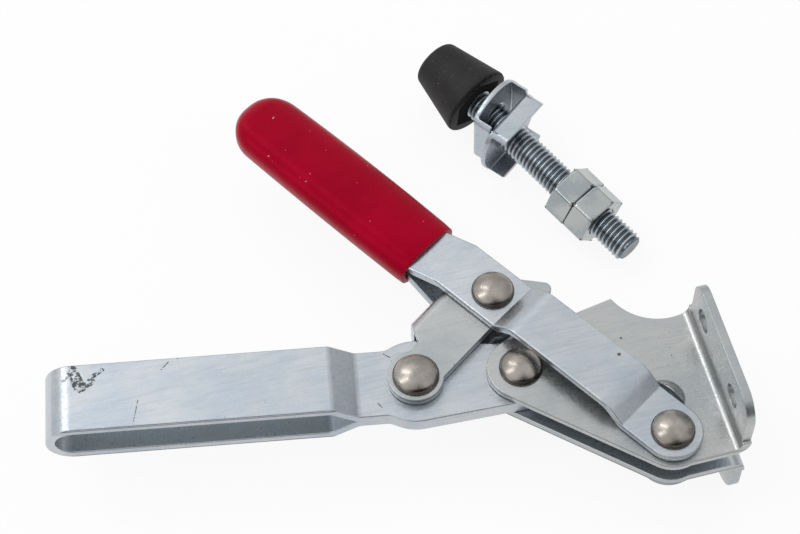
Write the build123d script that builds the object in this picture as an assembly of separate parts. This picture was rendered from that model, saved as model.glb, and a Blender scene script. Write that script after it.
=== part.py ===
from build123d import *
import os
from math import acos, atan2, cos, degrees, radians, sin, sqrt, tan

# Vertical-handle toggle clamp, lying on its side and fully open, with its
# screw spindle taken off and lying beside it.  Millimetres.
# +X runs away from the mounting face, +Y is the side the bar closes towards
# and +Z runs along the pivots.  The origin is the centre of the four bolt
# holes on the mounting face, half way between the two flanges.

# Sheet and running clearances
base_sheet = 2.2
bar_sheet = 2.2
link_sheet = 2.2
handle_sheet = 2.2
side_gap = 0.3            # between two sheets that slide past each other
pin_gap = 0.05            # radial clearance of a rivet in a turning hole
stop_gap = 1.0            # from the open handle to the stop on the base

# Linkage: pivot places and lengths
bar_pivot_x = 44.2
bar_pivot_y = -13.3
handle_pivot_x = 16.2
handle_pivot_y = 12.2
handle_arm = 53.9         # handle pivot to link rivet
link_length = 27.7        # link rivet to bar rivet
bar_arm = 24.2            # bar pivot to bar rivet
handle_open_angle = -57.4 # from +X, degrees

# Base plates
flange_reach = 20.0       # from the middle plane to the edge of each flange
flange_top_y = -16.8
flange_bottom_y = 19.0
flange_top_r = 4.0
flange_bottom_r = 6.5
base_bend_r = 1.8         # inside radius of the flange fold
web_bottom_y = 19.3
base_boss_r = 7.8         # round ends about both pivots
web_bottom_rise = 7.5     # lower edge of the web, past the handle pivot
shoulder_x = 19.0
shoulder_y = -25.5
scallop_x = 6.5
scallop_y = -30.1
scallop_r = 12.9
bolt_hole_d = 5.6
bolt_spacing_y = 20.0
bolt_spacing_z = 25.4
stop_r = 4.9              # half-moon stop, plan radius
stop_height = 2.6         # crown of the stop above the web
stop_wall = 1.2           # its wall, thinned by the pressing
stop_slit = 0.4           # the cut beside its sheared edge
stop_root = 0.4           # how far its dome and its hollow run on into the web
stop_inset = 2.0          # from the centre of the stop to its sheared edge
stop_along = 7.2          # from the handle pivot, along the open handle

# Clamping bar
bar_length = 109.5        # bar pivot to the outside of the fold
bar_half_width = 8.5
slot_width = 8.5          # between the two legs
bar_boss_r = 10.6
bar_tail_r = 7.6
joggle_start = 38.5       # where the legs part, from the bar pivot
joggle_run = 6.0
joggle_r = 2.0
bar_shoulder_r = 4.0
notch_steps = 8           # places of the pivot's rivet that the notch is stretched round

# Link
link_bar_end_r = 6.5
link_handle_end_r = 7.0
link_edge = 5.1           # plain edge, from the line through its rivets
link_back = 10.5          # outside of the folded back, from the same line
link_back_end = 17.2      # end of the back, from the link rivet
link_back_start = -3.0
link_neck_start = 20.5
link_neck_half = 5.2
link_fold_r = 0.7
finger_width = 3.4
finger_root = (-5.0, 0.5)
finger_tip = (-9.6, 7.8)

# Handle
handle_width = 13.8
handle_end_r = 6.9
handle_raise = 3.7        # outward step that clears the rivet heads
ramp_run = 4.6
ramp_top_r = 4.5          # inside radius of the bend at the raised end of a ramp
ramp_foot_r = 0.5         # outside radius of the crease at its foot
lower_crease = 9.9        # from the handle pivot
upper_crease = 6.9        # from the link rivet, towards the handle pivot
splay_start = 10.8        # from the link rivet, towards the grip
splay_end = 21.8          # where the two strips meet
strip_tip = 78.0          # end of the strips inside the grip
strip_tip_r = 4.6
grip_start = 20.6
grip_end = 84.0
grip_width_mouth = 18.4
grip_width_tip = 17.2
grip_thickness = 9.4
grip_round = 3.9
grip_tip_r = 8.4          # its corners, seen flat
grip_mouth_wall = 1.6
grip_mouth_depth = 4.0

# Rivets and sleeves
rivet_d = 6.0
rivet_head_d = 10.0
rivet_head_height = 3.1
head_rim = 0.8            # height of a head's upright edge, before it is bevelled
head_edge = 0.7           # bevel of that edge
bar_rivet_head_d = 10.8
bar_rivet_head_height = 3.0
bar_pivot_head_height = 3.1
sleeve_d = 9.0

# Spindle assembly
thread_d = 8.0
spindle_head_flats = 13.0
spindle_head_height = 5.3
cap_face_r = 6.2
cap_rim_r = 9.9
cap_length = 16.7
cap_rim_edge = 0.7        # bevel of the cap's rim
cap_face_edge = 0.8       # bevel round its clamping face
thread_length = 55.3      # rim of the cap to the end of the thread
thread_chamfer = 0.8
nut_flats = 13.0
nut_height = 6.5
nut_chamfer = 0.8
nut_bore_gap = 0.05
lower_nut_place = 32.2    # from the rim of the cap, along the spindle
nut_gap = 0.1
nut_turns = (43.8, 38.8)  # how each nut is turned about the spindle
washer_sheet = 1.3
washer_r = 10.8
washer_flange_gap = 0.5   # a washer's flanges straddle the bar with this
washer_flange_height = 5.5
washer_fold_r = 0.4
washer_bore_gap = 0.4
washer_gap = 0.05         # between the lower washer's flanges and the upper washer
lower_washer_place = 4.8  # from the rim of the cap, along the spindle
washer_turns = (91.8, 179.8)
washer_lean = 11.0        # the two loose washers lie askew on the thread
washer_lean_way = 116.8   # towards this side
spindle_rim_x = 30.3      # middle of the cap's rim
spindle_rim_y = -96.93
spindle_heading = 117.46  # direction of the thread end, from +X, degrees
nut_rest_r = 7.0          # lowest part of the nuts, from the spindle's axis


# Levels, as distances from the middle plane
bar_face = bar_sheet
frame_inner = bar_face + side_gap
frame_outer = frame_inner + base_sheet
link_outer = frame_inner + link_sheet
handle_inner = max(frame_outer, link_outer) + side_gap
handle_outer = handle_inner + handle_sheet
floor_z = -flange_reach
slot_half = slot_width / 2
bar_outer = slot_half + bar_sheet
pin_r = rivet_d / 2
far = 400.0


def polar(length, angle):
    return Vector(length * cos(radians(angle)), length * sin(radians(angle)))


# The linkage, worked out once for the open and the closed clamp
bar_pivot = Vector(bar_pivot_x, bar_pivot_y)
handle_pivot = Vector(handle_pivot_x, handle_pivot_y)
ground = bar_pivot - handle_pivot
ground_length = ground.length
ground_angle = degrees(atan2(ground.Y, ground.X))

link_rivet = handle_pivot + polar(handle_arm, handle_open_angle)
reach = bar_pivot - link_rivet
reach_angle = degrees(atan2(reach.Y, reach.X))
reach_corner = degrees(
    acos((link_length**2 + reach.length**2 - bar_arm**2) / (2 * link_length * reach.length))
)
link_open_angle = reach_angle - reach_corner
bar_rivet = link_rivet + polar(link_length, link_open_angle)
bar_open = bar_rivet - bar_pivot
bar_open_angle = degrees(atan2(bar_open.Y, bar_open.X))

toggle_arm = handle_arm - link_length
toggle_corner = degrees(
    acos((ground_length**2 + toggle_arm**2 - bar_arm**2) / (2 * ground_length * toggle_arm))
)
handle_closed_angle = ground_angle + toggle_corner
bar_closed = handle_pivot + polar(toggle_arm, handle_closed_angle) - bar_pivot
bar_closed_angle = degrees(atan2(bar_closed.Y, bar_closed.X))
handle_travel = handle_closed_angle - handle_open_angle
link_travel = handle_closed_angle + 180 - link_open_angle
bar_travel = bar_closed_angle - bar_open_angle


def pin_in_bar(share):
    """Place of the bar pivot's rivet, seen from the bar, part way through the travel."""
    handle_angle = handle_open_angle + share * handle_travel
    link_angle = link_open_angle + share * link_travel
    bar_angle = bar_open_angle + share * bar_travel
    joint = handle_pivot + polar(handle_arm, handle_angle) + polar(link_length, link_angle)
    offset = bar_pivot - joint
    along = offset.X * cos(radians(bar_angle)) + offset.Y * sin(radians(bar_angle))
    across = offset.Y * cos(radians(bar_angle)) - offset.X * sin(radians(bar_angle))
    return (along + bar_arm, across)


def lay(shape, place, angle):
    """Turns a shape drawn along +X to an angle and moves its origin to a pivot."""
    return Pos(place.X, place.Y, 0) * Rot(0, 0, angle) * shape


def both_sides(shape):
    return shape + mirror(shape, about=Plane.XY)


def layer(sketch, low, high):
    return Pos(0, 0, low) * extrude(sketch, amount=high - low)


def hull_of(circles):
    """Sketch of the outline stretched round circles given as (x, y, radius)."""
    middle_x = sum(x for x, y, radius in circles) / len(circles)
    middle_y = sum(y for x, y, radius in circles) / len(circles)
    edges = []
    for x, y, radius in circles:
        inward = degrees(atan2(middle_y - y, middle_x - x))
        edges += (Pos(x, y) * Rot(0, 0, inward) * Circle(radius)).edges()
    return make_hull(edges)


def rounded_at(section, place, radius):
    """The same section with its corner nearest to a place rounded."""
    corner = section.vertices().sort_by_distance(place)[0]
    return fillet(corner, radius)


def bevelled_at(section, place, size):
    """The same section with its corner nearest to a place cut off."""
    corner = section.vertices().sort_by_distance(place)[0]
    return chamfer(corner, size)


def hole(place, radius, low=-far, high=far):
    return layer(Pos(place.X, place.Y) * Circle(radius), low, high)


# ---------------------------------------------------------------- base

def web_outline():
    arm = hull_of(
        [
            (bar_pivot_x, bar_pivot_y, base_boss_r),
            (handle_pivot_x, handle_pivot_y, base_boss_r),
        ]
    )
    body = make_face(
        Polyline(
            (-far, web_bottom_y),
            (handle_pivot_x, handle_pivot_y + web_bottom_rise),
            (bar_pivot_x, bar_pivot_y),
            (bar_pivot_x, bar_pivot_y - base_boss_r),
            (shoulder_x, shoulder_y),
            (-far, shoulder_y),
            close=True,
        )
    )
    return arm + body - Pos(scallop_x, scallop_y) * Circle(scallop_r)


def base_fold():
    """Angle section of a base plate, in X and Z, drawn out along Y."""
    web = Pos(far / 2, (frame_inner + frame_outer) / 2) * Rectangle(far, base_sheet)
    flange_height = flange_reach - frame_inner
    flange = Pos(base_sheet / 2, frame_inner + flange_height / 2) * Rectangle(base_sheet, flange_height)
    section = rounded_at(web + flange, (0, frame_inner), base_bend_r + base_sheet)
    section = rounded_at(section, (base_sheet, frame_outer), base_bend_r)
    return extrude(Plane.XZ * section, amount=far / 2, both=True)


def flange_outline():
    """Everything a base plate may fill, seen along X: full depth at the web, rounded at the flange."""
    deep = frame_outer + base_sheet
    web = Pos(0, deep / 2) * Rectangle(far, deep)
    width = flange_bottom_y - flange_top_y
    middle = (flange_bottom_y + flange_top_y) / 2
    flange = Pos(middle, 0) * Rectangle(width, 2 * flange_reach)
    for level in (-flange_reach, flange_reach):
        flange = rounded_at(flange, (flange_top_y, level), flange_top_r)
        flange = rounded_at(flange, (flange_bottom_y, level), flange_bottom_r)
    return extrude(Plane.YZ * (web + flange), amount=far, both=True)


def half_moon(crown, low, overrun):
    """Half of a low dome up to a crown, sheared straight along the open handle's edge."""
    sphere_r = (stop_r**2 + stop_height**2) / (2 * stop_height)
    dome = Pos(0, 0, crown - sphere_r) * Sphere(sphere_r)
    keep = Pos(0, overrun - stop_inset, low) * Box(
        far, far, far, align=(Align.CENTER, Align.MAX, Align.MIN)
    )
    edge = -(handle_width / 2 + stop_gap) + stop_inset
    return lay(Pos(stop_along, edge, 0) * (dome & keep), handle_pivot, handle_open_angle)


def base_plate():
    solid = base_fold() & flange_outline()
    solid = solid & layer(web_outline(), 0, far)
    stop_crown = frame_outer + stop_height
    solid += half_moon(stop_crown, frame_outer - stop_root, 0)
    solid -= half_moon(stop_crown - stop_wall, frame_inner - stop_root, stop_slit)
    solid -= hole(bar_pivot, pin_r)
    solid -= hole(handle_pivot, pin_r)
    for side in (-1, 1):
        bolt = Pos(0, side * bolt_spacing_y / 2, bolt_spacing_z / 2) * Rot(0, 90, 0)
        solid -= bolt * Cylinder(bolt_hole_d / 2, far)
    return solid


# ---------------------------------------------------------------- bar

def bar_profile():
    """The folded strip seen from its edge: along the bar in X, through it in Y."""
    slope = atan2(slot_half, joggle_run)
    shift = bar_sheet * tan(slope / 2)
    parted = joggle_start + joggle_run
    bend_x = bar_length - bar_outer
    outer_line = Polyline(
        (-far, 0),
        (-far, bar_face),
        (joggle_start - shift, bar_face),
        (parted - shift, bar_outer),
        (bend_x, bar_outer),
        (bend_x, 0),
        close=True,
    )
    bends = [v for v in make_face(outer_line).vertices() if 0 < v.X < bend_x and v.Y > 0]
    outer = fillet(bends, joggle_r)
    inner_line = Polyline(
        (joggle_start, 0),
        (parted, slot_half),
        (bend_x, slot_half),
        (bend_x, 0),
        close=True,
    )
    bend = make_face(inner_line).vertices().sort_by_distance((parted, slot_half))[0]
    inner = fillet(bend, joggle_r)
    outer = outer + mirror(outer, about=Plane.XZ) + Pos(bend_x, 0) * Circle(bar_outer)
    inner = inner + mirror(inner, about=Plane.XZ) + Pos(bend_x, 0) * Circle(slot_half)
    return outer - inner


def bar_outline():
    ends = hull_of([(0, 0, bar_tail_r), (bar_arm, 0, bar_boss_r)])
    strip_length = bar_length - bar_arm
    strip = Pos(bar_arm + strip_length / 2, 0) * Rectangle(strip_length, 2 * bar_half_width)
    outline = ends + strip
    corners = [v for v in outline.vertices() if bar_arm < v.X < bar_arm + bar_boss_r]
    return fillet(corners, bar_shoulder_r)


def pivot_notch():
    """Room for the bar pivot's rivet along the way it takes through the bar."""
    circles = []
    for step in range(notch_steps + 1):
        along, across = pin_in_bar(step / notch_steps)
        circles.append((along, across, pin_r + side_gap))
    return hull_of(circles)


def clamping_bar():
    folded = extrude(Plane.XZ * bar_profile(), amount=far, both=True)
    solid = folded & layer(bar_outline(), -far, far)
    solid -= layer(pivot_notch(), -far, far)
    solid -= hole(Vector(bar_arm, 0), pin_r + pin_gap)
    return lay(solid, bar_pivot, bar_open_angle)


# ---------------------------------------------------------------- link

def link_outline():
    body = make_face(
        Polyline(
            (link_back_start, -link_back),
            (link_back_end, -link_back),
            (link_neck_start, -link_neck_half),
            (link_length, -link_neck_half),
            (link_length, link_edge),
            (0, link_edge),
            (-link_handle_end_r, 0),
            close=True,
        )
    )
    ends = Circle(link_handle_end_r) + Pos(link_length, 0) * Circle(link_bar_end_r)
    finger = hull_of(
        [
            (finger_root[0], finger_root[1], finger_width / 2),
            (finger_tip[0], finger_tip[1], finger_width / 2),
        ]
    )
    return body + ends + finger


def link_channel():
    """U section of the link: two plates joined by the folded back, drawn out along X."""
    outer = Pos(far / 2 - link_back, 0) * Rectangle(far, 2 * link_outer)
    inner = Pos(far / 2 - link_back + link_sheet, 0) * Rectangle(far, 2 * frame_inner)
    outer = fillet([v for v in outer.vertices() if v.X < 0], link_fold_r + link_sheet)
    inner = fillet([v for v in inner.vertices() if v.X < 0], link_fold_r)
    return extrude(Plane.YZ * (outer - inner), amount=far, both=True)


def toggle_link():
    solid = link_channel() & layer(link_outline(), -link_outer, link_outer)
    solid -= hole(Vector(0, 0), pin_r + pin_gap)
    solid -= hole(Vector(link_length, 0), pin_r)
    return lay(solid, link_rivet, link_open_angle)


# ---------------------------------------------------------------- handle

def strip_profile():
    """A handle strip seen from its edge: along the handle in X, through it in Y."""
    link_x = handle_arm
    start = lower_crease
    end = link_x - upper_crease
    splay = link_x + splay_start
    meet = link_x + splay_end
    tip = link_x + strip_tip
    raised = handle_inner + handle_raise
    inner = [
        (-far, handle_inner),
        (start, handle_inner),
        (start + ramp_run, raised),
        (end - ramp_run, raised),
        (end, handle_inner),
        (splay, handle_inner),
        (meet, 0),
        (tip, 0),
    ]
    ramp_shift = handle_sheet * tan(atan2(handle_raise, ramp_run) / 2)
    splay_shift = handle_sheet * tan(atan2(handle_inner, splay_end - splay_start) / 2)
    shifts = [0, -ramp_shift, -ramp_shift, ramp_shift, ramp_shift, splay_shift, splay_shift, 0]
    outer = [(x + shift, y + handle_sheet) for (x, y), shift in zip(inner, shifts)]
    section = make_face(Polyline(*inner, *reversed(outer), close=True))
    for foot in (inner.index((start, handle_inner)), inner.index((end, handle_inner))):
        section = rounded_at(section, inner[foot], ramp_foot_r + handle_sheet)
        section = rounded_at(section, outer[foot], ramp_foot_r)
    for top in (inner.index((start + ramp_run, raised)), inner.index((end - ramp_run, raised))):
        section = rounded_at(section, inner[top], ramp_top_r)
        section = rounded_at(section, outer[top], ramp_top_r + handle_sheet)
    return section


def strip_outline():
    length = handle_arm + strip_tip
    strip = Pos(length / 2, 0) * Rectangle(length, handle_width)
    tip_corners = [v for v in strip.vertices() if v.X > handle_arm]
    return fillet(tip_corners, strip_tip_r) + Circle(handle_end_r)


def handle_strip():
    folded = extrude(Plane.XZ * strip_profile(), amount=far, both=True)
    solid = folded & layer(strip_outline(), -far, far)
    solid -= hole(Vector(0, 0), pin_r + pin_gap)
    solid -= hole(Vector(handle_arm, 0), pin_r)
    return lay(solid, handle_pivot, handle_open_angle)


def grip_body():
    """Flat bar of the grip, rounded all round but for its mouth."""
    start = handle_arm + grip_start
    end = handle_arm + grip_end
    mouth_half = grip_width_mouth / 2
    tip_half = grip_width_tip / 2
    plan = make_face(
        Polyline((start, -mouth_half), (end, -tip_half), (end, tip_half), (start, mouth_half), close=True)
    )
    for side in (-tip_half, tip_half):
        plan = rounded_at(plan, (end, side), grip_tip_r)
    solid = extrude(plan, amount=grip_thickness / 2, both=True)
    rims = []
    for face in (solid.faces().sort_by(Axis.Z)[0], solid.faces().sort_by(Axis.Z)[-1]):
        rims += face.edges().sort_by(Axis.X)[1:]
    return fillet(rims, grip_round)


def handle_grip():
    """Dipped sleeve, solid but for the strips inside it and a shallow hollow at its mouth."""
    hollow = RectangleRounded(
        grip_width_mouth - 2 * grip_mouth_wall,
        grip_thickness - 2 * grip_mouth_wall,
        grip_round - grip_mouth_wall,
    )
    mouth = Pos(handle_arm + grip_start, 0, 0) * Plane.YZ
    solid = grip_body() - extrude(mouth * hollow, amount=grip_mouth_depth)
    folded = extrude(Plane.XZ * strip_profile(), amount=far, both=True)
    strips = both_sides(folded & layer(strip_outline(), -far, far))
    return lay(solid - strips, handle_pivot, handle_open_angle)


# ---------------------------------------------------------------- rivets

def domed_rivet(place, head_d, head_height, seat):
    """A rivet through the clamp with a low dome on each side, its heads seated on a level."""
    head_r = head_d / 2
    crown = head_height - head_rim
    crown_r = (head_r**2 + crown**2) / (2 * crown)
    middle = (head_r / 2, seat + head_height - crown_r + sqrt(crown_r**2 - head_r**2 / 4))
    dome = ThreePointArc((head_r, seat + head_rim), middle, (0, seat + head_height))
    shank = Polyline(dome @ 1, (0, 0), (pin_r, 0), (pin_r, seat), (head_r, seat), dome @ 0)
    section = bevelled_at(make_face(dome + shank), (head_r, seat + head_rim), head_edge)
    half = revolve(Plane.XZ * section, Axis.Z)
    return Pos(place.X, place.Y, 0) * both_sides(half)


def sleeve(place, bore_r):
    tube = Circle(sleeve_d / 2) - Circle(bore_r)
    return Pos(place.X, place.Y, 0) * layer(tube, -frame_inner, frame_inner)


# ---------------------------------------------------------------- spindle

washer_rest = lower_washer_place + washer_sheet
nut_rest = lower_nut_place + 2 * nut_height + nut_gap
spindle_tilt = degrees(atan2(washer_r - nut_rest_r, nut_rest - washer_rest))
rim_height = floor_z + washer_r * cos(radians(spindle_tilt)) + washer_rest * sin(radians(spindle_tilt))


def on_spindle(shape):
    """Moves a shape drawn along +Z from the cap's rim to where the spindle lies."""
    heading = Pos(spindle_rim_x, spindle_rim_y, rim_height) * Rot(0, 0, spindle_heading)
    return heading * Rot(0, 90 + spindle_tilt, 0) * shape


def hexagon(flats, height):
    return extrude(RegularPolygon(flats / 2, 6, major_radius=False), amount=height)


def spindle():
    thread = Cylinder(thread_d / 2, thread_length, align=(Align.CENTER, Align.CENTER, Align.MIN))
    thread = chamfer(thread.edges().group_by(Axis.Z)[-1], thread_chamfer)
    return on_spindle(thread + hexagon(spindle_head_flats, -spindle_head_height))


def rubber_cap():
    """Turned rubber cap pressed over the hexagon head, narrow at its clamping face."""
    outline = make_face(
        Polyline((0, 0), (cap_rim_r, 0), (cap_face_r, -cap_length), (0, -cap_length), close=True)
    )
    outline = bevelled_at(outline, (cap_rim_r, 0), cap_rim_edge)
    outline = bevelled_at(outline, (cap_face_r, -cap_length), cap_face_edge)
    solid = revolve(Plane.XZ * outline, Axis.Z) - hexagon(spindle_head_flats, -spindle_head_height)
    return on_spindle(solid)


def jam_nut(index):
    corner_r = nut_flats / sqrt(3)
    trim = Cylinder(corner_r, nut_height, align=(Align.CENTER, Align.CENTER, Align.MIN))
    trim = chamfer(trim.edges(), nut_chamfer, nut_chamfer / 2)
    nut = (hexagon(nut_flats, nut_height) & trim) - Cylinder(thread_d / 2 + nut_bore_gap, far)
    place = lower_nut_place + index * (nut_height + nut_gap)
    return on_spindle(Pos(0, 0, place) * Rot(0, 0, nut_turns[index]) * nut)


def flanged_washer(index):
    """Washer with two folded flanges that straddle the bar."""
    half_span = bar_outer + washer_flange_gap
    outer = half_span + washer_sheet
    section = Rectangle(2 * outer, washer_flange_height, align=(Align.CENTER, Align.MIN))
    section = fillet([v for v in section.vertices() if v.Y == 0], washer_sheet + washer_fold_r)
    channel_height = washer_flange_height - washer_sheet
    channel = Rectangle(2 * half_span, channel_height, align=(Align.CENTER, Align.MIN))
    channel = fillet([v for v in channel.vertices() if v.Y == 0], washer_fold_r)
    folded = extrude(Plane.XZ * (section - Pos(0, washer_sheet) * channel), amount=washer_r, both=True)
    washer = folded & layer(Circle(washer_r), -far, far)
    washer -= Cylinder(thread_d / 2 + washer_bore_gap, far)
    place = lower_washer_place + index * (washer_flange_height + washer_gap) / cos(radians(washer_lean))
    lean = Rot(0, 0, washer_lean_way) * Rot(0, washer_lean, 0) * Rot(0, 0, -washer_lean_way)
    return on_spindle(Pos(0, 0, place) * lean * Rot(0, 0, washer_turns[index]) * washer)


# ---------------------------------------------------------------- write

def write(name, shape):
    shape = Compound(shape.solids()) if len(shape.solids()) > 1 else shape.solids()[0]
    shape.label = name
    export_step(shape, os.path.join("parts", name + ".step"))
    print(name, len(shape.solids()), round(shape.volume, 1))


def main():
    os.makedirs("parts", exist_ok=True)
    plate = base_plate()
    write("base_plate_left", plate)
    write("base_plate_right", mirror(plate, about=Plane.XY))
    strip = handle_strip()
    write("handle_strip_left", strip)
    write("handle_strip_right", mirror(strip, about=Plane.XY))
    write("handle_grip", handle_grip())
    write("toggle_link", toggle_link())
    write("clamping_bar", clamping_bar())
    write("bar_pivot_rivet", domed_rivet(bar_pivot, rivet_head_d, bar_pivot_head_height, frame_outer))
    write("handle_pivot_rivet", domed_rivet(handle_pivot, rivet_head_d, rivet_head_height, handle_outer))
    write("link_handle_rivet", domed_rivet(link_rivet, rivet_head_d, rivet_head_height, handle_outer))
    write("link_bar_rivet", domed_rivet(bar_rivet, bar_rivet_head_d, bar_rivet_head_height, link_outer))
    write("handle_pivot_sleeve", sleeve(handle_pivot, pin_r))
    write("link_sleeve", sleeve(link_rivet, pin_r + pin_gap))
    write("spindle", spindle())
    write("rubber_cap", rubber_cap())
    write("flanged_washer_lower", flanged_washer(0))
    write("flanged_washer_upper", flanged_washer(1))
    write("jam_nut_lower", jam_nut(0))
    write("jam_nut_upper", jam_nut(1))
    print("handle travel", round(handle_travel, 3))
    print("link on handle", round(link_travel - handle_travel, 3))
    print("bar on link", round(bar_travel - link_travel, 3))
    for name, place in (("R1", link_rivet), ("R2", bar_rivet)):
        print(name, round(place.X, 3), round(place.Y, 3))


main()
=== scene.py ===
import bpy
from math import copysign, cos, radians, sin, tau
from mathutils import Matrix, Vector


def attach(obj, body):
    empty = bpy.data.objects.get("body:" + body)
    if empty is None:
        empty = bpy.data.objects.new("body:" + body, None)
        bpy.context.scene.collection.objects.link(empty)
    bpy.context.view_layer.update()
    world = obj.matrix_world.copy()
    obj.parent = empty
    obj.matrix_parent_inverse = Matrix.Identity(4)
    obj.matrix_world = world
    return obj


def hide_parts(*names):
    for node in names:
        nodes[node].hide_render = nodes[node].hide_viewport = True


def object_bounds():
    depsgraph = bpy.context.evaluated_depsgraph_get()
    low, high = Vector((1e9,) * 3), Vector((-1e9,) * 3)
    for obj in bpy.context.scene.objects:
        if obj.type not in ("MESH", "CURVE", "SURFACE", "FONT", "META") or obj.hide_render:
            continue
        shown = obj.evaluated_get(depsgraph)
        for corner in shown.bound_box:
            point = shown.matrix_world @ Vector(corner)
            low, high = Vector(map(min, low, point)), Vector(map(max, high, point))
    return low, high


# Toggle clamp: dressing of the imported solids.  Metres, in the row's frame.
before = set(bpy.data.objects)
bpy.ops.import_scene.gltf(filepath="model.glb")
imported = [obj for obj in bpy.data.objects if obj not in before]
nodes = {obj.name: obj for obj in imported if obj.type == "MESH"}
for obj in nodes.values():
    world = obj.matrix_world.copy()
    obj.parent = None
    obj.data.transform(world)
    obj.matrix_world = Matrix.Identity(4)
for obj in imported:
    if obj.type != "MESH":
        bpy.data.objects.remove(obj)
cad_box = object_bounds()
MM = 0.001

# ---------------------------------------------------------------- camera

CAMERA_PLACE = Vector((0.132495, 0.217341, 0.447210))
CAMERA_RIGHT = Vector((-0.96803, 0.25083, 0.0))
CAMERA_UP = Vector((-0.21355, -0.82414, 0.52459))
CAMERA_ROLL = radians(-0.321)
CAMERA_LENS = 99.0        # mm, on the sensor below
CAMERA_SENSOR = 36.0
CAMERA_CLIP = (0.01, 50.0)


def make_camera():
    data = bpy.data.cameras.new("camera")
    data.lens = CAMERA_LENS
    data.sensor_width = CAMERA_SENSOR
    data.clip_start, data.clip_end = CAMERA_CLIP
    right = CAMERA_RIGHT * cos(CAMERA_ROLL) + CAMERA_UP * sin(CAMERA_ROLL)
    up = CAMERA_UP * cos(CAMERA_ROLL) - CAMERA_RIGHT * sin(CAMERA_ROLL)
    back = right.cross(up)
    turn = Matrix((right, up, back)).transposed().to_4x4()
    camera = bpy.data.objects.new("camera", data)
    camera.matrix_world = Matrix.Translation(CAMERA_PLACE) @ turn
    bpy.context.scene.collection.objects.link(camera)
    bpy.context.scene.camera = camera


# ---------------------------------------------------------------- node helpers

STROKE_EDGE = (0.25, 0.5)    # shares of a stroke's width, from full to nothing


class Tree:
    """The node tree of a material or the world, with short calls to add and join nodes."""

    def __init__(self, owner):
        self.owner = owner
        owner.use_nodes = True
        self.nodes = owner.node_tree.nodes
        self.links = owner.node_tree.links
        self.shader = self.nodes.get("Principled BSDF")

    def set(self, node, socket, value):
        if isinstance(value, bpy.types.NodeSocket):
            self.links.new(value, node.inputs[socket])
        else:
            node.inputs[socket].default_value = value

    def coords(self):
        return self.nodes.new("ShaderNodeTexCoord").outputs["Object"]

    def facing(self):
        """The surface's direction in the piece's own frame."""
        return self.nodes.new("ShaderNodeTexCoord").outputs["Normal"]

    def stretch(self, vector, scale):
        node = self.nodes.new("ShaderNodeMapping")
        self.set(node, "Vector", vector)
        node.inputs["Scale"].default_value = scale
        return node.outputs["Vector"]

    def unplace(self, vector, place, turn):
        """The vector as seen from a frame at a place, turned."""
        node = self.nodes.new("ShaderNodeMapping")
        node.vector_type = "TEXTURE"
        self.set(node, "Vector", vector)
        node.inputs["Location"].default_value = place
        node.inputs["Rotation"].default_value = turn
        return node.outputs["Vector"]

    def noise(self, vector, scale, detail, rough=0.5):
        node = self.nodes.new("ShaderNodeTexNoise")
        self.set(node, "Vector", vector)
        node.inputs["Scale"].default_value = scale
        node.inputs["Detail"].default_value = detail
        node.inputs["Roughness"].default_value = rough
        return node.outputs["Fac"]

    def math(self, operation, a, b=0.0, c=0.0):
        node = self.nodes.new("ShaderNodeMath")
        node.operation = operation
        self.set(node, 0, a)
        self.set(node, 1, b)
        self.set(node, 2, c)
        return node.outputs[0]

    def greatest(self, values):
        first, *others = values
        for value in others:
            first = self.math("MAXIMUM", first, value)
        return first

    def band(self, value, low, high, to_low=0.0, to_high=1.0):
        """Smooth step of a value from low to high."""
        node = self.nodes.new("ShaderNodeMapRange")
        node.interpolation_type = "SMOOTHSTEP"
        self.set(node, "Value", value)
        node.inputs["From Min"].default_value = low
        node.inputs["From Max"].default_value = high
        node.inputs["To Min"].default_value = to_low
        node.inputs["To Max"].default_value = to_high
        return node.outputs["Result"]

    def mix(self, share, a, b):
        node = self.nodes.new("ShaderNodeMix")
        node.data_type = "RGBA"
        self.set(node, "Factor", share)
        self.set(node, "A", a)
        self.set(node, "B", b)
        return node.outputs["Result"]

    def vector(self, operation, a, b=(0, 0, 0)):
        node = self.nodes.new("ShaderNodeVectorMath")
        node.operation = operation
        self.set(node, 0, a)
        self.set(node, 1, b)
        return node.outputs["Value" if operation in ("DOT_PRODUCT", "LENGTH") else "Vector"]

    def gap(self, place, centre):
        return self.vector("LENGTH", self.vector("SUBTRACT", place, centre))

    def axis(self, vector, index):
        node = self.nodes.new("ShaderNodeSeparateXYZ")
        self.set(node, 0, vector)
        return node.outputs[index]

    def stroke(self, place, start, end, width):
        """1 along the straight line from start to end, falling to 0 at half a width from it."""
        along = Vector(end) - Vector(start)
        offset = self.vector("SUBTRACT", place, start)
        share = self.math("DIVIDE", self.vector("DOT_PRODUCT", offset, along), along.length_squared)
        share = self.math("MINIMUM", self.math("MAXIMUM", share, 0.0), 1.0)
        nearest = self.nodes.new("ShaderNodeVectorMath")
        nearest.operation = "SCALE"
        nearest.inputs[0].default_value = along
        self.set(nearest, "Scale", share)
        away = self.gap(offset, nearest.outputs["Vector"])
        return self.band(away, STROKE_EDGE[0] * width, STROKE_EDGE[1] * width, 1.0, 0.0)

    def bump(self, height, distance, strength, normal=None):
        node = self.nodes.new("ShaderNodeBump")
        node.inputs["Strength"].default_value = strength
        node.inputs["Distance"].default_value = distance
        self.set(node, "Height", height)
        if normal is not None:
            self.set(node, "Normal", normal)
        return node.outputs["Normal"]


# ---------------------------------------------------------------- finishes

# A NOISE is a scale in 1/m, a detail and, where it isn't 0.5, a roughness.  A BAND is the range of a
# value over which something fades in or out.  A BUMP is a distance in metres and a strength.  Where
# there are two tints, a cloud of noise mixes them.
CLOUD_BAND = (0.35, 0.65)
FINE_BAND = (0.3, 0.7)

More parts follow.
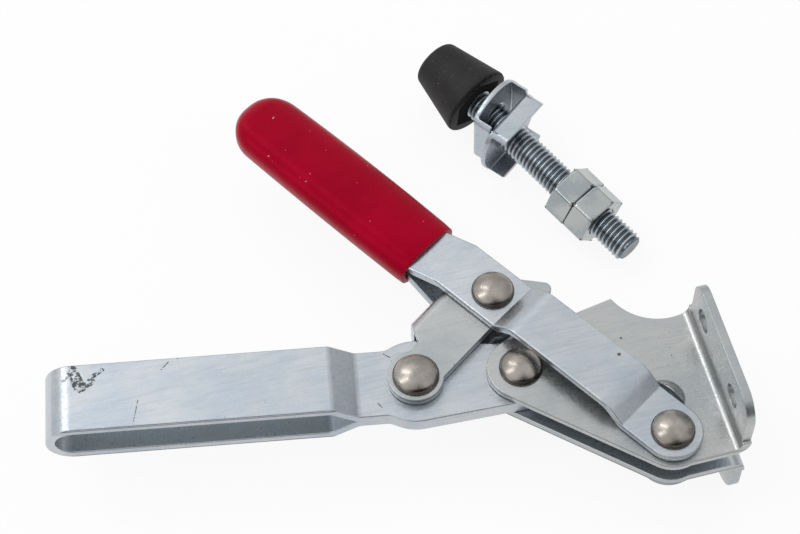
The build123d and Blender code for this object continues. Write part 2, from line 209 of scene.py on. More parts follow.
ZINC_BLUE = ((0.45, 0.50, 0.555, 1.0), (0.53, 0.555, 0.58, 1.0))
ZINC_GREY = ((0.41, 0.435, 0.44, 1.0), (0.50, 0.505, 0.495, 1.0))
ZINC_GRAIN = (0.33, 0.35, 0.37, 1.0)
# Painted light: the paler colour given to the sheets' inner faces.
ZINC_INSIDE_PAINTED_LIGHT = (0.56, 0.60, 0.63, 1.0)
ZINC_CLOUD_NOISE = (55.0, 4.0, 0.6)
ZINC_CLOUD_BAND = (0.38, 0.64)
GRAIN_STRETCH = (120.0, 1500.0, 1500.0)    # in 1/m, so that the streaks run along X
GRAIN_NOISE = (1.0, 4.0, 0.65)             # on the stretched place
SPANGLE_NOISE = (1600.0, 3.0, 0.6)
SPECK_NOISE = (1100.0, 2.0, 0.6)
GRAIN_BAND = (0.42, 0.70)
GRAIN_SHARE = 0.32
SPECK_BAND = (0.70, 0.76)
SPECK_SHARE = 0.30
ZINC_METAL = 0.9
ZINC_ROUGH = (0.27, 0.38)
ZINC_BUMP = (0.00002, 0.6)
GRAIN_HEIGHT = 0.5
SPANGLE_HEIGHT = 0.9
# Dark dirt for specks, spots and wear, and also the painted shadow of the sheets' edge lines.
DIRT_AND_PAINTED_SHADE = (0.035, 0.034, 0.032, 1.0)

# Wear, in metres: two ends and a width.  A mark shows on the zinc face that passes through its place.
SCRATCHES = (
    ((0.1331, -0.0211, 0.0065), (0.1309, -0.0266, 0.0065), 0.00030),
    ((0.1243, -0.0329, 0.0065), (0.1220, -0.0347, 0.0065), 0.00034),
    ((0.1136, -0.0148, 0.0065), (0.1128, -0.0172, 0.0065), 0.00030),
    ((0.0735, -0.0262, 0.0022), (0.0722, -0.0248, 0.0022), 0.00030),
    ((0.0779, -0.0139, 0.0022), (0.0772, -0.0125, 0.0022), 0.00034),
    ((0.0588, -0.0182, 0.0047), (0.0581, -0.0146, 0.0047), 0.00030),
)
SCRAPES = (
    ((0.1441, -0.0380, 0.0065), (0.1431, -0.0331, 0.0065), 0.0046),
    ((0.1430, -0.0328, 0.0065), (0.1404, -0.0341, 0.0065), 0.0034),
    ((0.1464, -0.0360, 0.0063), (0.1452, -0.0365, 0.0064), 0.0016),
    ((0.1396, -0.0353, 0.0065), (0.1374, -0.0363, 0.0065), 0.0018),
)
DOTS = (
    ((0.01958, -0.01477, 0.0047), 0.0006),    # a place and a width
    ((0.02290, -0.00760, 0.0109), 0.0010),
    ((0.12000, -0.03500, 0.0065), 0.0005),
)
SPOTS_PLACE = (0.0095, -0.0085, 0.0047)
SPOTS_REACH = 0.0095
SPOTS_CORE = 0.3          # share of the reach where they are at their strongest
SPOTS_SHARE = 0.8
DOT_EDGE = (0.35, 0.55)   # shares of a dot's width, from full to nothing
BROKEN_NOISE = (1400.0, 2.0, 0.6)
BROKEN_BAND = (0.34, 0.52)
RAGGED_NOISE = (900.0, 4.0, 0.8)
RAGGED_BAND = (0.44, 0.52)
SPOTS_NOISE = (1300.0, 3.0, 0.7)
SPOTS_BAND = (0.63, 0.68)
WEAR_SHARE = 0.85
WEAR_ROUGH = 0.3
WEAR_HEIGHT = 1.5

# Painted shadow: a dark line on the sheets' edges, under their outer faces.
LINE_DEPTH = 0.0005       # of the dark line on the sheets' edges, under their outer faces
LINE_BAND = (0.00008, 0.00022)
LINE_SHARE = 0.8
UPRIGHT_BAND = (0.35, 0.6)    # of a face's slope, from upright to lying
# Painted light on the inner faces fades in over these distances.
INSIDE_FADE = 0.0002      # over which the tint of the inner faces starts, off the middle plane
PARTED_FADE = 0.003       # and along X


def wear(tree, place):
    """Broken scratches and dots, a ragged scrape and a patch of spots, from 0 to 1."""
    marks = [tree.stroke(place, *scratch) for scratch in SCRATCHES]
    for centre, width in DOTS:
        away = tree.gap(place, centre)
        marks.append(tree.band(away, DOT_EDGE[0] * width, DOT_EDGE[1] * width, 1.0, 0.0))
    broken = tree.band(tree.noise(place, *BROKEN_NOISE), *BROKEN_BAND)
    marks = tree.math("MULTIPLY", tree.greatest(marks), broken)
    scrape = tree.greatest([tree.stroke(place, *stretch) for stretch in SCRAPES])
    ragged = tree.math("MULTIPLY", scrape, tree.noise(place, *RAGGED_NOISE))
    scrape = tree.band(ragged, *RAGGED_BAND)
    away = tree.gap(place, SPOTS_PLACE)
    near = tree.band(away, SPOTS_CORE * SPOTS_REACH, SPOTS_REACH, SPOTS_SHARE, 0.0)
    spots = tree.math("MULTIPLY", near, tree.band(tree.noise(place, *SPOTS_NOISE), *SPOTS_BAND))
    return tree.greatest([marks, scrape, spots])


def painted_shadow_line(tree, depth, levels):
    """Painted shadow: a thin dark line on upright faces, just under each of the levels."""
    lines = []
    for level in levels:
        away = tree.math("ABSOLUTE", tree.math("SUBTRACT", depth, level - LINE_DEPTH))
        lines.append(tree.band(away, *LINE_BAND, 1.0, 0.0))
    slope = tree.math("ABSOLUTE", tree.axis(tree.facing(), 2))
    return tree.math("MULTIPLY", tree.greatest(lines), tree.band(slope, *UPRIGHT_BAND, LINE_SHARE, 0.0))


def zinc_plate(name, tints, levels, inside, beyond):
    """Bright zinc on rolled sheet; painted light makes it paler within inside of the middle plane where X
    is past beyond, and a painted shadow line darkens it under the levels.
    """
    tree = Tree(bpy.data.materials.new(name))
    place = tree.coords()
    base = tree.mix(tree.band(tree.noise(place, *ZINC_CLOUD_NOISE), *ZINC_CLOUD_BAND), *tints)
    grain = tree.noise(tree.stretch(place, GRAIN_STRETCH), *GRAIN_NOISE)
    spangle = tree.noise(place, *SPANGLE_NOISE)
    speck = tree.band(tree.noise(place, *SPECK_NOISE), *SPECK_BAND)
    base = tree.mix(tree.math("MULTIPLY", tree.band(grain, *GRAIN_BAND), GRAIN_SHARE), base, ZINC_GRAIN)
    base = tree.mix(tree.math("MULTIPLY", speck, SPECK_SHARE), base, DIRT_AND_PAINTED_SHADE)
    marks = wear(tree, place)
    base = tree.mix(tree.math("MULTIPLY", marks, WEAR_SHARE), base, DIRT_AND_PAINTED_SHADE)
    depth = tree.math("ABSOLUTE", tree.axis(place, 2))
    # Painted light: inner faces near the middle plane are painted paler.
    inner = tree.band(depth, inside, inside + INSIDE_FADE, 1.0, 0.0)
    parted = tree.band(tree.axis(place, 0), beyond, beyond + PARTED_FADE)
    base = tree.mix(tree.math("MULTIPLY", inner, parted), base, ZINC_INSIDE_PAINTED_LIGHT)
    # Painted shadow: a dark line just under the outer faces' edges.
    base = tree.mix(painted_shadow_line(tree, depth, levels), base, DIRT_AND_PAINTED_SHADE)
    tree.set(tree.shader, "Base Color", base)
    tree.shader.inputs["Metallic"].default_value = ZINC_METAL
    rough = tree.band(spangle, *CLOUD_BAND, *ZINC_ROUGH)
    rough = tree.math("ADD", rough, tree.math("MULTIPLY", marks, WEAR_ROUGH))
    tree.set(tree.shader, "Roughness", rough)
    streaks = tree.math("MULTIPLY", grain, GRAIN_HEIGHT)
    height = tree.math("ADD", streaks, tree.math("MULTIPLY", spangle, SPANGLE_HEIGHT))
    height = tree.math("SUBTRACT", height, tree.math("MULTIPLY", marks, WEAR_HEIGHT))
    tree.set(tree.shader, "Normal", tree.bump(height, *ZINC_BUMP))
    return tree


RIVET_TINTS = ((0.33, 0.30, 0.27, 1.0), (0.43, 0.39, 0.355, 1.0))
# Painted shade: the dark colour at each dome's foot and on its +Y side.
RIVET_PAINTED_SHADE = (0.06, 0.05, 0.045, 1.0)
RIVET_CLOUD_NOISE = (260.0, 3.0)
RIVET_FINE_NOISE = (2600.0, 2.0)
RIVET_SPOT_NOISE = (1500.0, 2.0, 0.6)
RIVET_SPOT_BAND = (0.69, 0.74)
RIVET_SPOT_SHARE = 0.6
RIVET_METAL = 1.0
RIVET_ROUGH = (0.24, 0.33)
RIVET_BUMP = (0.00001, 0.3)
# Painted shade: a dark ring at each dome's foot, and a dark side facing +Y.
RIVET_FOOT = (0.5 * MM, 1.3 * MM)    # above the seat: where the dark ring starts to fade, and its end
FOOT_SHARE = 0.85
UNDER_BAND = (0.50, 0.78)            # of the share by which a face looks to +Y
UNDER_SHARE = 0.9


def rivet_steel(name, seat):
    """Smooth brownish steel, with painted shade round the foot of each dome and at its +Y side."""
    tree = Tree(bpy.data.materials.new(name))
    place = tree.coords()
    base = tree.mix(tree.band(tree.noise(place, *RIVET_CLOUD_NOISE), *CLOUD_BAND), *RIVET_TINTS)
    fine = tree.noise(place, *RIVET_FINE_NOISE)
    spots = tree.band(tree.noise(place, *RIVET_SPOT_NOISE), *RIVET_SPOT_BAND)
    base = tree.mix(tree.math("MULTIPLY", spots, RIVET_SPOT_SHARE), base, DIRT_AND_PAINTED_SHADE)
    depth = tree.math("ABSOLUTE", tree.axis(place, 2))
    # Painted shade: a dark ring at the foot and a dark side facing +Y.
    foot = tree.band(depth, seat + RIVET_FOOT[0], seat + RIVET_FOOT[1], FOOT_SHARE, 0.0)
    under = tree.band(tree.axis(tree.facing(), 1), *UNDER_BAND, 0.0, UNDER_SHARE)
    base = tree.mix(tree.greatest([foot, under]), base, RIVET_PAINTED_SHADE)
    tree.set(tree.shader, "Base Color", base)
    tree.shader.inputs["Metallic"].default_value = RIVET_METAL
    tree.set(tree.shader, "Roughness", tree.band(fine, *FINE_BAND, *RIVET_ROUGH))
    tree.set(tree.shader, "Normal", tree.bump(fine, *RIVET_BUMP))
    return tree


NUT_TINTS = ((0.34, 0.375, 0.385, 1.0), (0.45, 0.47, 0.46, 1.0))
NUT_CLOUD_NOISE = (150.0, 4.0)
NUT_CLOUD_BAND = (0.38, 0.62)
NUT_FINE_NOISE = (1800.0, 3.0)
NUT_METAL = 0.95
NUT_ROUGH = (0.16, 0.27)
NUT_BUMP = (0.00002, 0.4)


def screw_steel(name):
    """Zinc on the nuts, smoother than on the sheets."""
    tree = Tree(bpy.data.materials.new(name))
    place = tree.coords()
    base = tree.mix(tree.band(tree.noise(place, *NUT_CLOUD_NOISE), *NUT_CLOUD_BAND), *NUT_TINTS)
    fine = tree.noise(place, *NUT_FINE_NOISE)
    tree.set(tree.shader, "Base Color", base)
    tree.shader.inputs["Metallic"].default_value = NUT_METAL
    tree.set(tree.shader, "Roughness", tree.band(fine, *FINE_BAND, *NUT_ROUGH))
    tree.set(tree.shader, "Normal", tree.bump(fine, *NUT_BUMP))
    return tree


CREST_TINTS = ((0.42, 0.47, 0.52, 1.0), (0.52, 0.56, 0.59, 1.0))
# Painted shade: the dark colour of the thread's roots.
ROOT_PAINTED_SHADE = (0.13, 0.15, 0.17, 1.0)
# Painted shade: the near-black colour of the head inside the cap.
HEAD_PAINTED_SHADE = (0.03, 0.03, 0.03, 1.0)
THREAD_CLOUD_NOISE = (300.0, 3.0)
THREAD_METAL = 0.95
THREAD_SPECULAR = 0.5
THREAD_ROUGH = (0.22, 0.34)
HEAD_FADE = (0.02 * MM, 0.10 * MM)    # above the head, over which the screw's own finish starts


def thread_steel(name):
    """Blue-grey zinc on the thread, bright crests over painted shade in the roots; the head in the cap is
    painted dark and dull, as painted shade.
    """
    tree = Tree(bpy.data.materials.new(name))
    place = tree.unplace(tree.coords(), SPINDLE_RIM, spindle_turn().to_euler())
    radius = tree.vector("LENGTH", tree.vector("MULTIPLY", place, (1.0, 1.0, 0.0)))
    cloud = tree.noise(place, *THREAD_CLOUD_NOISE)
    crest = tree.mix(tree.band(cloud, *CLOUD_BAND), *CREST_TINTS)
    # Painted shade: the thread darkens towards its root radius.
    screw = tree.mix(tree.band(radius, THREAD_ROOT_R, THREAD_R), ROOT_PAINTED_SHADE, crest)
    # Painted shade: the head in the cap is dark, not metallic, and without specular.
    clear = tree.band(tree.axis(place, 2), *HEAD_FADE)
    tree.set(tree.shader, "Base Color", tree.mix(clear, HEAD_PAINTED_SHADE, screw))
    tree.set(tree.shader, "Metallic", tree.math("MULTIPLY", clear, THREAD_METAL))
    tree.set(tree.shader, "Specular IOR Level", tree.math("MULTIPLY", clear, THREAD_SPECULAR))
    tree.set(tree.shader, "Roughness", tree.band(cloud, *FINE_BAND, *THREAD_ROUGH))
    return tree


VINYL_TINTS = ((0.30, 0.0004, 0.013, 1.0), (0.35, 0.0006, 0.016, 1.0))
VINYL_DUST = (0.75, 0.50, 0.48, 1.0)
VINYL_GLOSS = (1.0, 0.03, 0.10, 1.0)
VINYL_CLOUD_NOISE = (60.0, 3.0)
VINYL_DUST_NOISE = (700.0, 2.0, 0.6)
VINYL_DUST_BAND = (0.745, 0.76)
DUST_SHARE = 0.7
VINYL_ROUGH = (0.24, 0.36)
VINYL_SPECULAR = 0.34
VINYL_WAVE_NOISE = (150.0, 3.0, 0.55)
VINYL_WAVE_BUMP = (0.00035, 0.5)
VINYL_SKIN_NOISE = (1500.0, 2.0)
VINYL_SKIN_BUMP = (0.00002, 0.4)


def red_vinyl(name):
    """Dipped vinyl: even deep red, a slightly wavy skin, a soft red gloss and a few grains of dust."""
    tree = Tree(bpy.data.materials.new(name))
    place = tree.coords()
    base = tree.mix(tree.band(tree.noise(place, *VINYL_CLOUD_NOISE), *CLOUD_BAND), *VINYL_TINTS)
    dust = tree.band(tree.noise(place, *VINYL_DUST_NOISE), *VINYL_DUST_BAND)
    base = tree.mix(tree.math("MULTIPLY", dust, DUST_SHARE), base, VINYL_DUST)
    wave = tree.noise(place, *VINYL_WAVE_NOISE)
    skin = tree.noise(place, *VINYL_SKIN_NOISE)
    tree.set(tree.shader, "Base Color", base)
    tree.set(tree.shader, "Roughness", tree.band(skin, *FINE_BAND, *VINYL_ROUGH))
    tree.shader.inputs["Specular IOR Level"].default_value = VINYL_SPECULAR
    tree.shader.inputs["Specular Tint"].default_value = VINYL_GLOSS
    normal = tree.bump(wave, *VINYL_WAVE_BUMP)
    tree.set(tree.shader, "Normal", tree.bump(skin, *VINYL_SKIN_BUMP, normal))
    return tree


RUBBER_TINTS = ((0.008, 0.007, 0.007, 1.0), (0.016, 0.014, 0.013, 1.0))
RUBBER_DUST = (0.19, 0.16, 0.145, 1.0)
RUBBER_CLOUD_NOISE = (180.0, 4.0, 0.6)
RUBBER_CLOUD_BAND = (0.35, 0.7)
RUBBER_DUST_NOISE = (1500.0, 3.0, 0.7)
RUBBER_DUST_BAND = (0.65, 0.71)
RUBBER_ROUGH = 0.62
RUBBER_SPECULAR = 0.35
RUBBER_SKIN_NOISE = (700.0, 4.0, 0.65)
RUBBER_SKIN_BUMP = (0.0002, 0.6)


def black_rubber(name):
    """Dull black rubber with pale dust."""
    tree = Tree(bpy.data.materials.new(name))
    place = tree.coords()
    base = tree.mix(tree.band(tree.noise(place, *RUBBER_CLOUD_NOISE), *RUBBER_CLOUD_BAND), *RUBBER_TINTS)
    dust = tree.band(tree.noise(place, *RUBBER_DUST_NOISE), *RUBBER_DUST_BAND)
    base = tree.mix(tree.math("MULTIPLY", dust, DUST_SHARE), base, RUBBER_DUST)
    tree.set(tree.shader, "Base Color", base)
    tree.shader.inputs["Roughness"].default_value = RUBBER_ROUGH
    tree.shader.inputs["Specular IOR Level"].default_value = RUBBER_SPECULAR
    tree.set(tree.shader, "Normal", tree.bump(tree.noise(place, *RUBBER_SKIN_NOISE), *RUBBER_SKIN_BUMP))
    return tree


# ---------------------------------------------------------------- dressing

WELD_GAP = 0.000002
FLAT_ANGLE = radians(0.8)
SHARP_ANGLE = radians(32)


def dress(names, tree):
    for name in names:
        slots = nodes[name].data.materials
        slots.clear()
        slots.append(tree.owner)


def soften(name, width, segments=2):
    """Rounds a piece's sharp edges and smooths its curved faces."""
    piece = nodes[name]
    weld = piece.modifiers.new("weld", "WELD")
    weld.merge_threshold = WELD_GAP
    flat = piece.modifiers.new("flat", "DECIMATE")
    flat.decimate_type = "DISSOLVE"
    flat.angle_limit = FLAT_ANGLE
    bevel = piece.modifiers.new("bevel", "BEVEL")
    bevel.width = width
    bevel.segments = segments
    bevel.limit_method = "ANGLE"
    bevel.angle_limit = SHARP_ANGLE
    bevel.harden_normals = True
    bevel.use_clamp_overlap = False
    level = piece.modifiers.new("level", "WEIGHTED_NORMAL")
    level.mode = "FACE_AREA"
    level.weight = 100
    for face in piece.data.polygons:
        face.use_smooth = True


# ---------------------------------------------------------------- thread

THREAD_R = 4.0 * MM
THREAD_ROOT_R = 3.3 * MM
THREAD_PITCH = 1.25 * MM
THREAD_LENGTH = 55.3 * MM
THREAD_CHAMFER = 0.8 * MM
THREAD_SIDES = 48
THREAD_SHARP = radians(30)
THREAD_PROFILE = (  # share of the pitch, radius
    (0.0, THREAD_ROOT_R), (0.14, THREAD_ROOT_R), (0.50, THREAD_R), (0.64, THREAD_R),
)
HEAD_FLATS = 13.0 * MM
HEAD_HEIGHT = 5.3 * MM
HEAD_SIDES = 6
SPINDLE_RIM = (30.3 * MM, -96.93 * MM, -8.662 * MM)
SPINDLE_HEADING = radians(117.46)
SPINDLE_TILT = radians(5.537)


def spindle_turn():
    """Turns the screw's own Z, from the head to the end, along the lying spindle."""
    return Matrix.Rotation(SPINDLE_HEADING, 4, "Z") @ Matrix.Rotation(tau / 4 + SPINDLE_TILT, 4, "Y")


def thread_points():
    """Rows of the screw surface: each follows one helix of the thread's profile."""
    turns = int(THREAD_LENGTH / THREAD_PITCH) + 3    # with spare turns past both ends, held flat there
    points = []
    for turn in range(turns):
        for share, radius in THREAD_PROFILE:
            for side in range(THREAD_SIDES):
                angle = tau * side / THREAD_SIDES
                height = (turn - 1 + share + side / THREAD_SIDES) * THREAD_PITCH
                height = min(max(height, 0.0), THREAD_LENGTH)
                reach = min(radius, THREAD_R - THREAD_CHAMFER + THREAD_LENGTH - height)
                points.append((reach * cos(angle), reach * sin(angle), height))
    return points


def thread_faces(rows):
    """Joins neighbouring rows; a row's last side meets the first side of the next turn's row."""
    step = len(THREAD_PROFILE)
    faces = []
    for row in range(rows - step - 1):
        for side in range(THREAD_SIDES):
            near = row * THREAD_SIDES + side
            far = near + 1
            if side == THREAD_SIDES - 1:
                far = (row + step) * THREAD_SIDES
            faces.append((near, far, far + THREAD_SIDES, near + THREAD_SIDES))
    return faces


def disc_and_head(points, faces):
    """Adds the flat end of the thread and the hexagon head hidden in the cap."""
    start = len(points)
    end_r = THREAD_R - THREAD_CHAMFER
    for side in range(THREAD_SIDES):
        angle = tau * side / THREAD_SIDES
        points.append((end_r * cos(angle), end_r * sin(angle), THREAD_LENGTH))
    faces.append(tuple(start + side for side in range(THREAD_SIDES)))
    corner_r = HEAD_FLATS / (2 * cos(tau / 2 / HEAD_SIDES))
    low = len(points)
    top = low + HEAD_SIDES
    for height in (-HEAD_HEIGHT, 0.0):
        for corner in range(HEAD_SIDES):
            angle = tau * corner / HEAD_SIDES
            points.append((corner_r * cos(angle), corner_r * sin(angle), height))
    faces.append(tuple(low + corner for corner in reversed(range(HEAD_SIDES))))
    faces.append(tuple(top + corner for corner in range(HEAD_SIDES)))
    for corner in range(HEAD_SIDES):
        following = (corner + 1) % HEAD_SIDES
        faces.append((low + corner, low + following, top + following, top + corner))


def make_mesh(name, points, faces, sharp, tree, turn):
    """A smooth mesh with sharp edges past an angle, laid in the row's frame by turn."""
    mesh = bpy.data.meshes.new(name)
    mesh.from_pydata(points, [], faces)
    mesh.validate()
    mesh.shade_smooth()
    mesh.set_sharp_from_angle(angle=sharp)
    mesh.materials.append(tree.owner)
    mesh.transform(turn)
    piece = bpy.data.objects.new(name, mesh)
    bpy.context.scene.collection.objects.link(piece)
    return piece


def make_thread():
    """The screw with a real helical thread, in place of the plain spindle."""
    points = thread_points()
    faces = thread_faces(len(points) // THREAD_SIDES)
    disc_and_head(points, faces)
    turn = Matrix.Translation(SPINDLE_RIM) @ spindle_turn()
    thread = make_mesh("spindle_thread", points, faces, THREAD_SHARP, thread_steel("thread_steel"), turn)
    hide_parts("spindle")
    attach(thread, "base")


# ---------------------------------------------------------------- grip

HANDLE_PIVOT = (16.2 * MM, 12.2 * MM, 0.0)
HANDLE_ANGLE = radians(-57.4)
GRIP_START = 74.5 * MM    # from the handle pivot
GRIP_END = 136.5 * MM
GRIP_TIP_R = 8.9 * MM     # length over which the tip narrows
GRIP_DOME = 4.9 * MM      # length over which its thickness runs out
GRIP_HALF = (9.1 * MM, 9.35 * MM, 8.7 * MM)      # half width at the mouth, the middle and the tip
GRIP_SHIFT = (-0.1 * MM, -0.7 * MM, -1.0 * MM)   # its middle line, at the same places
GRIP_THICK = 4.65 * MM    # half thickness
GRIP_POWER = 2.7          # of the superellipse that is its section
GRIP_TIP_POWER = 2.1      # of the curve by which the tip narrows
GRIP_DOME_POWER = 2.0     # of the curve by which the tip thins
GRIP_WALL = 1.6 * MM      # round its mouth
GRIP_HOLLOW = 3.8 * MM    # depth of the mouth
GRIP_LIP = 0.35 * MM      # rounding of the rim
GRIP_SIDES = 64
GRIP_STEPS = 26           # steps along the straight part, and again over the tip
GRIP_SHARP = radians(40)


def along_curve(ends, share):
    """Quadratic through three values given at 0, one half and 1."""
    low, middle, high = ends
    return low + share * (4 * middle - 3 * low - high) + share**2 * (2 * low - 4 * middle + 2 * high)


def taper(along, reach, power):
    """1 along the grip, falling to 0 at its end over the last reach of it."""
    past = max(along - GRIP_END + reach, 0.0) / reach
    return max(1.0 - past**power, 0.0) ** 0.5


def grip_ring(along, shrink=0.0):
    """Section of the grip at a distance from the handle pivot, as points in the handle's frame."""
    share = min((along - GRIP_START) / (GRIP_END - GRIP_START), 1.0)
    middle = along_curve(GRIP_SHIFT, share)
    half = along_curve(GRIP_HALF, share) * taper(along, GRIP_TIP_R, GRIP_TIP_POWER) - shrink
    thick = GRIP_THICK * taper(along, GRIP_DOME, GRIP_DOME_POWER) - shrink
    ring = []
    for side in range(GRIP_SIDES):
        angle = tau * side / GRIP_SIDES
        across = copysign(abs(cos(angle)) ** (2 / GRIP_POWER), cos(angle))
        level = copysign(abs(sin(angle)) ** (2 / GRIP_POWER), sin(angle))
        ring.append((along, middle + across * half, level * thick))
    return ring


def make_grip():
    """The dipped grip: drawn out from the floor of its mouth, over the lip and on to the tip."""
    rings = [
        grip_ring(GRIP_START + GRIP_HOLLOW, GRIP_WALL),
        grip_ring(GRIP_START + GRIP_LIP, GRIP_WALL),
        grip_ring(GRIP_START, GRIP_WALL - GRIP_LIP),
        grip_ring(GRIP_START, GRIP_LIP),
        grip_ring(GRIP_START + 0.3 * GRIP_LIP, 0.3 * GRIP_LIP),
    ]
    straight = GRIP_END - GRIP_TIP_R - GRIP_START
    for step in range(1, GRIP_STEPS + 1):
        rings.append(grip_ring(GRIP_START + straight * step / GRIP_STEPS))
    for step in range(1, GRIP_STEPS):
        onward = GRIP_TIP_R * sin(tau / 4 * step / GRIP_STEPS)
        rings.append(grip_ring(GRIP_END - GRIP_TIP_R + onward))
    points = [point for ring in rings for point in ring]
    faces = [tuple(reversed(range(GRIP_SIDES)))]
    for row in range(len(rings) - 1):
        for side in range(GRIP_SIDES):
            near = row * GRIP_SIDES + side
            far = row * GRIP_SIDES + (side + 1) % GRIP_SIDES
            faces.append((near, far, far + GRIP_SIDES, near + GRIP_SIDES))
    tip = len(points)
    points.append((GRIP_END, GRIP_SHIFT[2], 0.0))
    last = tip - GRIP_SIDES
    for side in range(GRIP_SIDES):
        faces.append((last + side, last + (side + 1) % GRIP_SIDES, tip))
    turn = Matrix.Translation(HANDLE_PIVOT) @ Matrix.Rotation(HANDLE_ANGLE, 4, "Z")
    grip = make_mesh("grip_skin", points, faces, GRIP_SHARP, red_vinyl("red_vinyl"), turn)
    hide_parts("handle_grip")
    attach(grip, "handle")


# ---------------------------------------------------------------- pieces

PLATES = ("base_plate_left", "base_plate_right", "toggle_link")
STRIPS = ("handle_strip_left", "handle_strip_right")
WASHERS = ("flanged_washer_lower", "flanged_washer_upper")
LOW_RIVETS = ("bar_pivot_rivet", "link_bar_rivet")
HIGH_RIVETS = ("handle_pivot_rivet", "link_handle_rivet")
SLEEVES = ("handle_pivot_sleeve", "link_sleeve")
NUTS = ("jam_nut_lower", "jam_nut_upper")
LOW_SEAT = 4.7 * MM       # levels at which the rivets' heads sit
HIGH_SEAT = 7.2 * MM
# Painted shadow: a dark line is painted under each of these levels.
PLATE_LEVELS = (4.7 * MM,)    # the sheets' outer faces, with a dark line under them
STRIP_LEVELS = (7.2 * MM, 10.9 * MM)
BAR_LEVELS = (6.45 * MM,)
INSIDE_PLATES = 2.6 * MM  # from the middle plane: a face within this is an inner one
INSIDE_BAR = 4.4 * MM
BAR_PARTS = 88.0 * MM     # in X, where the bar's legs have parted
NOWHERE = 1.0             # further out than any piece, so every X is past -NOWHERE and none past NOWHERE
PLATE_EDGE = 0.2 * MM     # rounding of each kind's edges
STRIP_EDGE = 0.35 * MM
WASHER_EDGE = 0.25 * MM
RIVET_EDGE = 0.3 * MM
BLOCK_EDGE = 0.5 * MM     # nuts and cap
ROUND_SEGMENTS = 3


def make_pieces():
    dress(PLATES, zinc_plate("zinc_plate", ZINC_GREY, PLATE_LEVELS, INSIDE_PLATES, -NOWHERE))
    dress(STRIPS, zinc_plate("zinc_strip", ZINC_BLUE, STRIP_LEVELS, INSIDE_PLATES, NOWHERE))
    dress(WASHERS, zinc_plate("zinc_washer", ZINC_BLUE, (NOWHERE,), INSIDE_PLATES, NOWHERE))
    dress(("clamping_bar",), zinc_plate("zinc_bar", ZINC_BLUE, BAR_LEVELS, INSIDE_BAR, BAR_PARTS))
    dress(LOW_RIVETS + SLEEVES, rivet_steel("rivet_steel_low", LOW_SEAT))
    dress(HIGH_RIVETS, rivet_steel("rivet_steel_high", HIGH_SEAT))
    dress(NUTS, screw_steel("screw_steel"))
    dress(("rubber_cap",), black_rubber("black_rubber"))
    for name in PLATES:
        soften(name, PLATE_EDGE)
    for name in STRIPS + ("clamping_bar",):
        soften(name, STRIP_EDGE)
    for name in WASHERS:
        soften(name, WASHER_EDGE)
    for name in NUTS + ("rubber_cap",):
        soften(name, BLOCK_EDGE, ROUND_SEGMENTS)
    for name in LOW_RIVETS + HIGH_RIVETS:
        soften(name, RIVET_EDGE, ROUND_SEGMENTS)
    make_thread()
    make_grip()


# ---------------------------------------------------------------- floor and light

FLOOR_SIZE = 30.0
FLOOR_DROP = 0.0002
FLOOR_TINT = (0.92, 0.92, 0.92, 1.0)
FLOOR_GLOW = (1.0, 1.0, 1.0, 1.0)
FLOOR_ROUGH = 0.9
FLOOR_WHITE = 1.0
FLOOR_SEEN = 0.90         # share of plain white where it is seen; the rest is lit and holds the shadow


def make_floor():
    """Pale floor; to the camera and in reflections it is mostly white, with a share of the shadow."""
    bpy.ops.mesh.primitive_plane_add(size=FLOOR_SIZE, location=(0, 0, cad_box[0].z - FLOOR_DROP))
    floor = bpy.context.object
    floor.name = "floor"
    tree = Tree(bpy.data.materials.new("floor"))
    tree.shader.inputs["Base Color"].default_value = FLOOR_TINT
    tree.shader.inputs["Roughness"].default_value = FLOOR_ROUGH
    tree.shader.inputs["Specular IOR Level"].default_value = 0.0
    glow = tree.nodes.new("ShaderNodeEmission")
    glow.inputs["Color"].default_value = FLOOR_GLOW
    glow.inputs["Strength"].default_value = FLOOR_WHITE
    path = tree.nodes.new("ShaderNodeLightPath").outputs
    seen = tree.greatest([path["Is Camera Ray"], path["Is Glossy Ray"], path["Is Transmission Ray"]])
    blend = tree.nodes.new("ShaderNodeMixShader")
    tree.set(blend, 0, tree.math("MULTIPLY", seen, FLOOR_SEEN))
    tree.links.new(tree.shader.outputs[0], blend.inputs[1])
    tree.links.new(glow.outputs[0], blend.inputs[2])
    tree.links.new(blend.outputs[0], tree.nodes["Material Output"].inputs["Surface"])
    floor.data.materials.append(tree.owner)


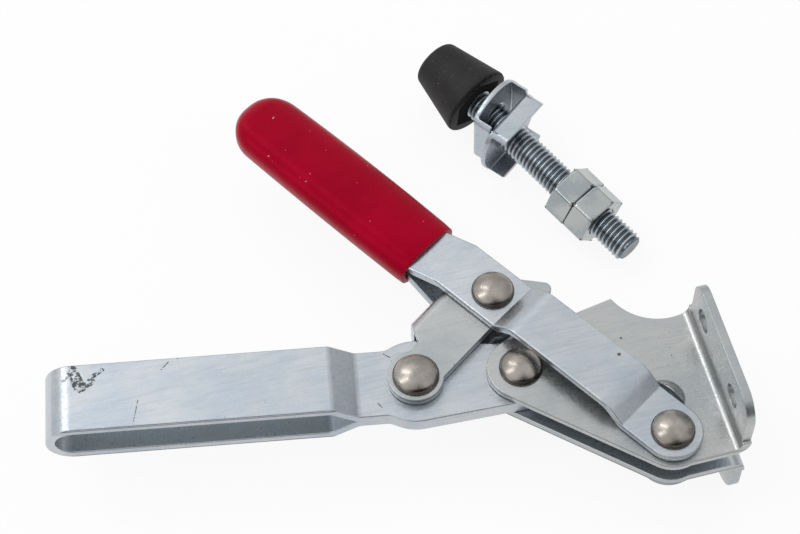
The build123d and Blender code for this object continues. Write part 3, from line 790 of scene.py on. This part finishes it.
WORLD_TINT = (0.97, 0.985, 1.0, 1.0)
WORLD_LOW = (0.62, 0.80)  # strength near the horizon, on the -X side and the +X side
WORLD_HIGH = 0.90         # overhead
WORLD_FRONT = 0.08        # share that is left straight ahead on +Y
SIDE_BAND = (-0.60, 0.0)
HEIGHT_BAND = (0.30, 0.80)
FRONT_BAND = (0.25, 0.70)
FRONT_NARROW = 0.7        # how fast the dark front gives way to the sides


def make_world():
    """Soft room: bright overhead and on three sides, dark on +Y, the viewer's side."""
    world = bpy.data.worlds.new("world")
    bpy.context.scene.world = world
    tree = Tree(world)
    way = tree.nodes.new("ShaderNodeTexCoord").outputs["Generated"]
    low = tree.band(tree.axis(way, 0), *SIDE_BAND, *WORLD_LOW)
    above = tree.band(tree.axis(way, 2), *HEIGHT_BAND)
    height = tree.math("MULTIPLY_ADD", tree.math("SUBTRACT", WORLD_HIGH, low), above, low)
    aside = tree.math("ABSOLUTE", tree.axis(way, 0))
    ahead = tree.math("MULTIPLY_ADD", aside, -FRONT_NARROW, tree.axis(way, 1))
    front = tree.band(ahead, *FRONT_BAND, 1.0, WORLD_FRONT)
    background = tree.nodes["Background"]
    background.inputs["Color"].default_value = WORLD_TINT
    tree.set(background, "Strength", tree.math("MULTIPLY", height, front))


LAMP_TARGET = (0.06, -0.05, 0.0)
SOFTBOXES = (
    ("softbox_back", (0.25, -0.65, 0.80), (0.7, 0.6), 0.5),    # name, place, size, watts
    ("softbox_end", (0.52, -0.56, 0.96), (0.12, 0.7), 1.4),
    ("softbox_side", (0.80, -0.10, 0.80), (0.20, 0.7), 1.5),
)


def area_light(name, place, size, power):
    data = bpy.data.lights.new(name, "AREA")
    data.shape = "RECTANGLE"
    data.size, data.size_y = size
    data.energy = power
    lamp = bpy.data.objects.new(name, data)
    lamp.location = place
    lamp.rotation_euler = (Vector(LAMP_TARGET) - Vector(place)).to_track_quat("-Z", "Y").to_euler()
    bpy.context.scene.collection.objects.link(lamp)


bpy.context.scene.view_settings.view_transform = "Standard"
make_camera()
make_pieces()
make_floor()
make_world()
for softbox in SOFTBOXES:
    area_light(*softbox)
